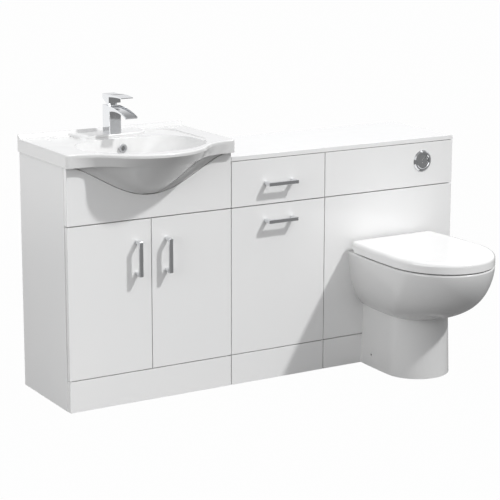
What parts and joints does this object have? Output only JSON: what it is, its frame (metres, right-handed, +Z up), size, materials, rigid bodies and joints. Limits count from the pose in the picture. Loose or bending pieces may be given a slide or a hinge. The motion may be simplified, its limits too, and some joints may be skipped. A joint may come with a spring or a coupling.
{
  "type": "bathroom furniture run with basin and toilet",
  "caption": "Straight bathroom run: two-door basin unit with bowed ceramic basin and tap, drawer and laundry unit, and back-to-wall toilet unit.",
  "frame": {"origin": "centre of the run's footprint at floor level: midway between the two ends and between the wall and the front of the toilet lid", "axes": "+X to the right along the run as seen from the front, +Y back to the wall, +Z up"},
  "size_m": [1.395, 0.78, 0.9035],
  "materials": {
    "board_white": "white high-gloss foil on board",
    "front_white": "white high-gloss lacquered front",
    "ceramic_white": "glossy white glaze",
    "chrome": "polished chrome plate",
    "brushed_steel": "satin",
    "zinc_steel": "zinc or nickel plated",
    "brass_plated": "nickel plated brass",
    "plastic_white": "white plastic",
    "seat_white": "glossy white seat resin",
    "plastic_grey": "grey plastic",
    "rubber_white": "soft white rubber",
    "copper_tail": "copper tube"
  },
  "bodies": {
    "carcase": {"basin_side_left": "board_white", "basin_side_right": "board_white", "basin_floor_panel": "board_white", "basin_fascia": "front_white", "basin_plinth": "front_white", "hinge_arms": "zinc_steel", "unit_rails": "board_white", "ceramic_basin": "ceramic_white", "overflow_ring": "chrome", "waste_body": "chrome", "bottle_trap": "plastic_white", "trap_outlet_pipe": "plastic_white", "tap_body": "chrome", "tap_neck": "chrome", "tap_fixing": "brass_plated", "supply_tails": "copper_tail", "laundry_side_left": "board_white", "laundry_side_right": "board_white", "laundry_floor_panel": "board_white", "laundry_back": "board_white", "laundry_plinth": "front_white", "laundry_worktop": "front_white", "runners_fixed": "zinc_steel", "wc_side_left": "board_white", "wc_side_right": "board_white", "wc_worktop": "front_white", "wc_upper_panel": "front_white", "wc_lower_panel": "front_white", "wc_plinth": "front_white", "cistern_tank": "plastic_white", "cistern_lid": "plastic_white", "flush_valve": "plastic_grey", "fill_valve": "plastic_grey", "flush_pipe": "plastic_white", "flush_ring": "chrome", "wc_pan": "ceramic_white", "pan_connector": "plastic_white", "seat_posts": "brushed_steel"},
    "left_door": {"basin_door_left": "front_white", "door_handle_left": "chrome", "hinge_cups_left": "zinc_steel"},
    "right_door": {"basin_door_right": "front_white", "door_handle_right": "chrome", "hinge_cups_right": "zinc_steel"},
    "drawer": {"drawer_front": "front_white", "drawer_box": "board_white", "drawer_handle": "chrome", "runners_sliding": "zinc_steel"},
    "laundry_flap": {"laundry_door": "front_white", "laundry_handle": "chrome", "laundry_hinge_cups": "zinc_steel", "laundry_basket": "plastic_white"},
    "tap_cartridge": {"tap_stem": "brass_plated"},
    "tap_handle": {"tap_lever": "chrome"},
    "plug": {"waste_plug": "chrome"},
    "full_button": {"flush_button_full": "chrome"},
    "half_button": {"flush_button_half": "chrome"},
    "seat": {"wc_seat": "seat_white", "seat_buffers": "rubber_white"},
    "lid": {"wc_lid": "seat_white"}
  },
  "joints": [
    {"name": "left_door_hinge", "type": "hinge", "parent": "carcase", "child": "left_door", "pos_m": [-0.691, 0.06, 0.328], "axis": [0, 0, -1], "range_deg": [0, 90]},
    {"name": "right_door_hinge", "type": "hinge", "parent": "carcase", "child": "right_door", "pos_m": [-0.144, 0.06, 0.328], "axis": [0, 0, 1], "range_deg": [0, 90]},
    {"name": "drawer_slide", "type": "slide", "parent": "carcase", "child": "drawer", "axis": [0, -1, 0], "range_m": [0, 0.23]},
    {"name": "laundry_door_tilt", "type": "hinge", "parent": "carcase", "child": "laundry_flap", "pos_m": [0.0275, 0.06, 0.0975], "axis": [1, 0, 0], "range_deg": [0, 28]},
    {"name": "tap_swivel", "type": "hinge", "parent": "carcase", "child": "tap_cartridge", "pos_m": [-0.4175, 0.313, 0.867], "axis": [0, 0, 1], "range_deg": [-45, 45]},
    {"name": "tap_lift", "type": "hinge", "parent": "tap_cartridge", "child": "tap_handle", "pos_m": [-0.4175, 0.313, 0.8854], "axis": [-1, 0, 0], "range_deg": [0, 24]},
    {"name": "plug_travel", "type": "slide", "parent": "carcase", "child": "plug", "axis": [0, 0, 1], "range_m": [-0.0055, 0]},
    {"name": "full_flush_press", "type": "slide", "parent": "carcase", "child": "full_button", "axis": [0, 1, 0], "range_m": [0, 0.005], "stiffness_N_per_m": 400},
    {"name": "half_flush_press", "type": "slide", "parent": "carcase", "child": "half_button", "axis": [0, 1, 0], "range_m": [0, 0.005], "stiffness_N_per_m": 400},
    {"name": "seat_hinge", "type": "hinge", "parent": "carcase", "child": "seat", "pos_m": [0.4475, 0.028, 0.393], "axis": [-1, 0, 0], "range_deg": [0, 90]},
    {"name": "lid_hinge", "type": "hinge", "parent": "seat", "child": "lid", "pos_m": [0.4475, 0.028, 0.393], "axis": [1, 0, 0], "range_deg": [-91, 0]}
  ]
}
